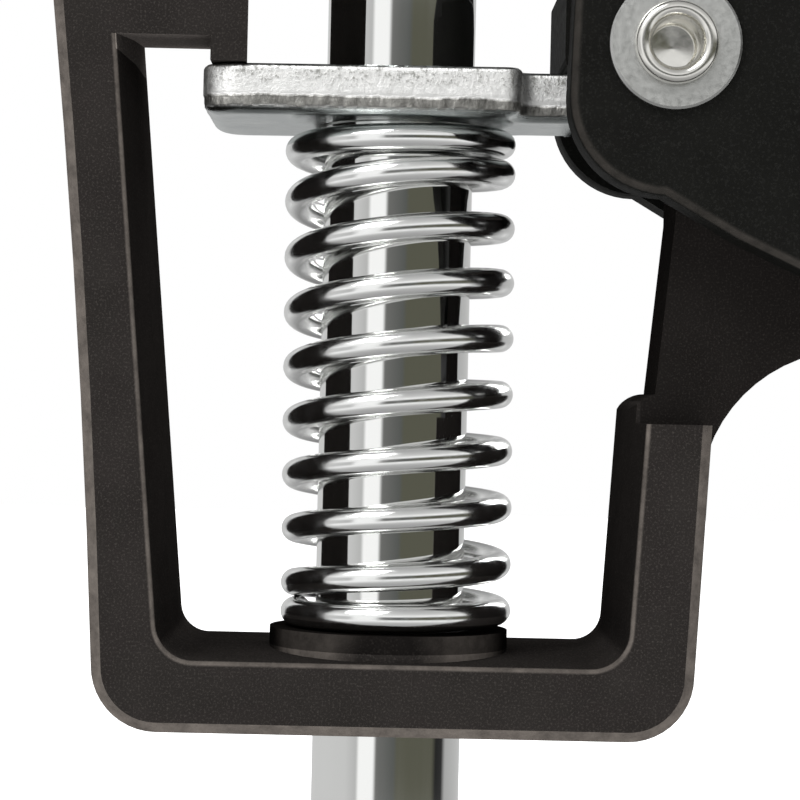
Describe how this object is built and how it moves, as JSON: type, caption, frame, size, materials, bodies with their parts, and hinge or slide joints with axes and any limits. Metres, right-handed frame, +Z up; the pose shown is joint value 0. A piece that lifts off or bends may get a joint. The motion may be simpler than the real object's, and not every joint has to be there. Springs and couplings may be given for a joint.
{
  "type": "one-hand trigger clamp",
  "caption": "One-hand trigger clamp on a round rod, with jam-plate drive, sprung brake plate, pistol handle and padded jaws.",
  "frame": {"origin": "on the rod's axis, level with the lower face of the frame", "axes": "+Z up along the rod towards the jaws' opening, +X towards the handle and trigger, -Y is the front"},
  "size_m": [0.1734, 0.028, 0.213],
  "materials": {
    "frame_nylon": "fine-grained glass-filled nylon",
    "bush_nylon": "smooth nylon",
    "trigger_nylon": "smooth moulded nylon",
    "rod_chrome": "bright plated",
    "spring_steel": "bright plated wire",
    "zinc_plate": "zinc-plated, sheared edges",
    "washer_steel": "satin plated",
    "rivet_steel": "polished and spun",
    "black_steel": "black oxide",
    "soft_rubber": "soft-touch, ribbed",
    "pad_rubber": "soft non-marking jaw pad"
  },
  "bodies": {
    "frame": {"frame": "frame_nylon", "lower_guide_bush": "bush_nylon", "upper_guide_bush": "bush_nylon", "return_spring": "spring_steel", "brake_spring": "spring_steel", "pivot_bush": "washer_steel", "pivot_washer_front": "washer_steel", "pivot_washer_back": "washer_steel", "pivot_rivet": "rivet_steel", "brake_fulcrum_pin": "rivet_steel", "brake_cover_front": "trigger_nylon", "brake_cover_back": "trigger_nylon", "brake_cover_screws": "black_steel", "moving_jaw_pad": "pad_rubber", "handle_grip_front": "soft_rubber", "handle_grip_back": "soft_rubber", "grip_screws": "black_steel", "grip_nuts": "black_steel"},
    "rod": {"rod": "rod_chrome", "rod_stop_ring": "black_steel", "rod_end_cap": "soft_rubber", "fixed_jaw": "frame_nylon", "fixed_jaw_pins": "rivet_steel", "fixed_jaw_pad": "pad_rubber"},
    "drive_plate": {"drive_plate": "zinc_plate"},
    "trigger": {"trigger": "trigger_nylon", "trigger_grip_pad": "soft_rubber"},
    "brake": {"brake_plate": "zinc_plate", "release_button": "trigger_nylon"}
  },
  "joints": [
    {"name": "trigger_pivot", "type": "hinge", "parent": "frame", "child": "trigger", "pos_m": [0.0173, 0, 0.0452], "axis": [0, -1, 0], "range_deg": [0, 28], "stiffness_Nm_per_rad": 0.2, "springref_deg": -11.46},
    {"name": "plate_slide", "type": "slide", "parent": "frame", "child": "drive_plate", "axis": [0, 0, -1], "range_m": [0, 0.0038], "deforming": ["return_spring"]},
    {"name": "rod_slide", "type": "slide", "parent": "frame", "child": "rod", "axis": [0, 0, 1], "range_m": [-0.0595, 0.027]},
    {"name": "brake_tilt", "type": "hinge", "parent": "frame", "child": "brake", "pos_m": [-0.0115, 0, 0.0674], "axis": [0, 1, 0], "range_deg": [0, 5], "stiffness_Nm_per_rad": 0.1, "springref_deg": -11.46, "deforming": ["brake_spring"]}
  ],
  "couplings": [
    {"joint": "plate_slide", "follows": "trigger_pivot", "m_per_rad": 0.0076}
  ]
}
